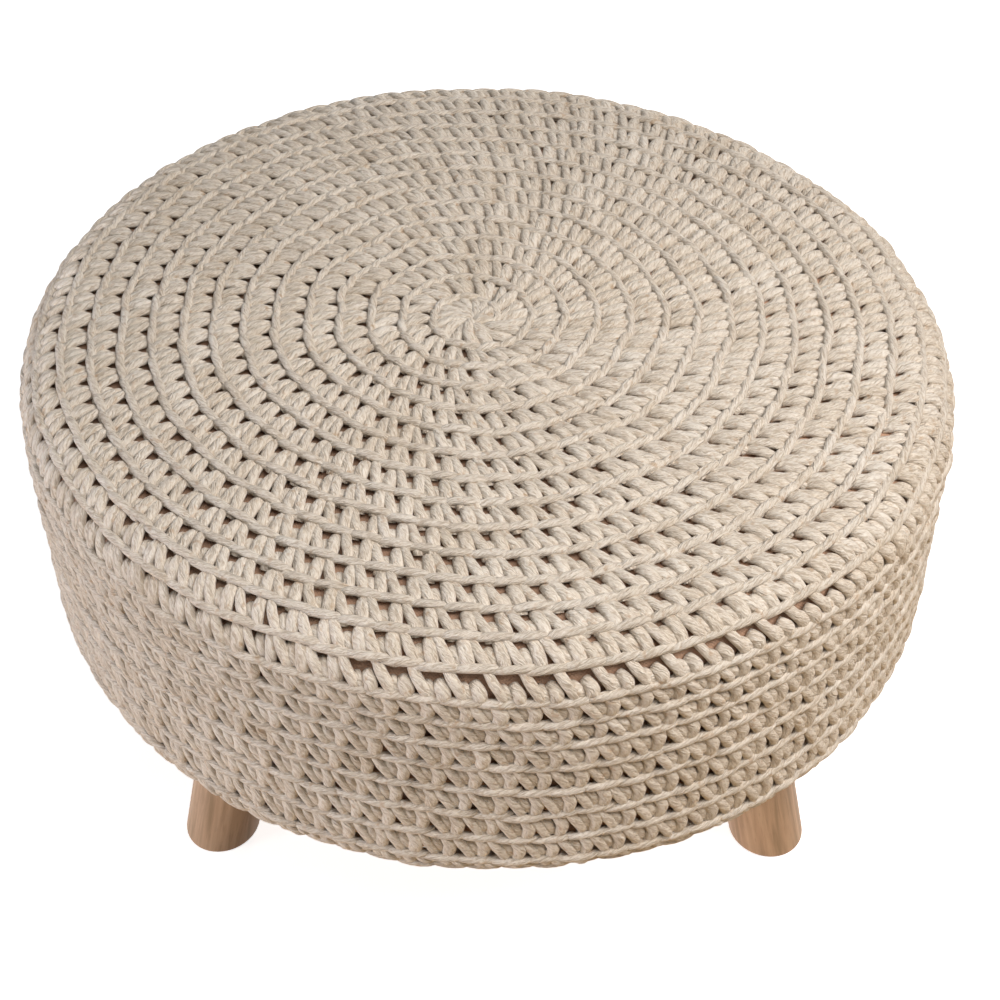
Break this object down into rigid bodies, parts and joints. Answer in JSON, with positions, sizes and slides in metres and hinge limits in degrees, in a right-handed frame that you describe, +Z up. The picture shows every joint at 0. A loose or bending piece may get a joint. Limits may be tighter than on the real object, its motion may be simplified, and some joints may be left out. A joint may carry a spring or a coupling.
{
  "type": "crocheted footstool",
  "caption": "Low round footstool: a filled drum cushion under a crocheted cotton cover, on short splayed round wooden legs.",
  "frame": {"origin": "on the floor under the middle of the cover", "axes": "+Z up, the front of the stool towards -Y, +X to the right of someone who faces it from the front"},
  "size_m": [0.6, 0.6, 0.313],
  "materials": {
    "crochet_yarn": "thick undyed cotton yarn, matt, worked in ridged single crochet",
    "casing_cloth": "plain woven tan cloth, matt",
    "board_wood": "plain sanded plywood",
    "leg_wood": "turned hardwood, oiled, grain along the leg"
  },
  "bodies": {
    "root": {"crochet_cover": "crochet_yarn", "cushion": "casing_cloth", "base_board": "board_wood", "leg_front_right": "leg_wood", "leg_back_right": "leg_wood", "leg_back_left": "leg_wood", "leg_front_left": "leg_wood"}
  },
  "joints": []
}
